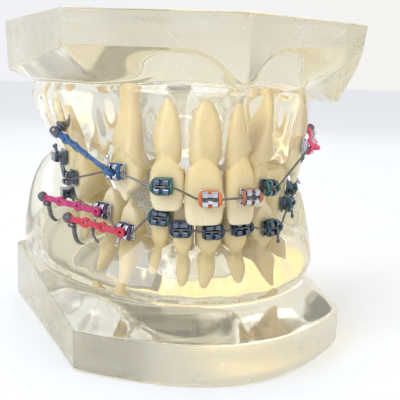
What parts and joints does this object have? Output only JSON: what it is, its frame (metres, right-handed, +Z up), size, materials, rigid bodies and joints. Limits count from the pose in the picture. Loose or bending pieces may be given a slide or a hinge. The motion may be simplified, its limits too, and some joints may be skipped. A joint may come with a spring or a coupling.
{
  "type": "orthodontic typodont",
  "caption": "Clear resin upper and lower jaws on a rear hinge, with ivory teeth, brackets, archwires, mini-implants and elastic chains on a stepped base.",
  "frame": {"origin": "on the table, under the middle of the model's outline", "axes": "+Z up, the front teeth face -Y, +X is the patient's left"},
  "size_m": [0.0724, 0.0726, 0.067],
  "materials": {
    "clear_resin": "polished clear cast resin with a faint straw tint",
    "ivory_tooth": "satin opaque ivory",
    "bracket_steel": "satin stainless",
    "archwire_steel": "dark drawn stainless wire",
    "implant_titanium": "dark grey machined titanium",
    "chain_blue": "smooth elastomer",
    "chain_pink": "smooth elastomer",
    "chain_magenta": "smooth elastomer",
    "chain_red": "smooth elastomer",
    "hinge_steel": "satin stainless"
  },
  "bodies": {
    "lower_jaw": {"lower_base": "clear_resin", "tooth_46": "ivory_tooth", "tooth_44": "ivory_tooth", "tooth_43": "ivory_tooth", "tooth_42": "ivory_tooth", "tooth_41": "ivory_tooth", "tooth_31": "ivory_tooth", "tooth_32": "ivory_tooth", "tooth_33": "ivory_tooth", "tooth_34": "ivory_tooth", "tooth_35": "ivory_tooth", "tooth_36": "ivory_tooth", "tube_46": "bracket_steel", "bracket_44": "bracket_steel", "bracket_43": "bracket_steel", "bracket_42": "bracket_steel", "bracket_41": "bracket_steel", "bracket_31": "bracket_steel", "bracket_32": "bracket_steel", "bracket_33": "bracket_steel", "bracket_34": "bracket_steel", "bracket_35": "bracket_steel", "tube_36": "bracket_steel", "lower_archwire": "archwire_steel", "mini_implant_lower_right_back": "implant_titanium", "mini_implant_lower_right_front": "implant_titanium", "elastic_chain_magenta": "chain_magenta", "elastic_chain_red": "chain_red", "hinge_leaf_lower": "hinge_steel", "hinge_pin": "hinge_steel"},
    "upper_jaw": {"upper_base": "clear_resin", "tooth_16": "ivory_tooth", "tooth_15": "ivory_tooth", "tooth_13": "ivory_tooth", "tooth_12": "ivory_tooth", "tooth_11": "ivory_tooth", "tooth_21": "ivory_tooth", "tooth_22": "ivory_tooth", "tooth_23": "ivory_tooth", "tooth_25": "ivory_tooth", "tooth_26": "ivory_tooth", "tube_16": "bracket_steel", "bracket_15": "bracket_steel", "bracket_13": "bracket_steel", "bracket_12": "bracket_steel", "bracket_11": "bracket_steel", "bracket_21": "bracket_steel", "bracket_22": "bracket_steel", "bracket_23": "bracket_steel", "bracket_25": "bracket_steel", "tube_26": "bracket_steel", "upper_archwire": "archwire_steel", "mini_implant_upper_right": "implant_titanium", "mini_implant_upper_left": "implant_titanium", "elastic_chain_blue": "chain_blue", "elastic_chain_pink": "chain_pink", "hinge_leaf_upper": "hinge_steel"}
  },
  "joints": [
    {"name": "jaw_hinge", "type": "hinge", "parent": "lower_jaw", "child": "upper_jaw", "pos_m": [0, 0.0347, 0.038], "axis": [-1, 0, 0], "range_deg": [0, 75]}
  ]
}
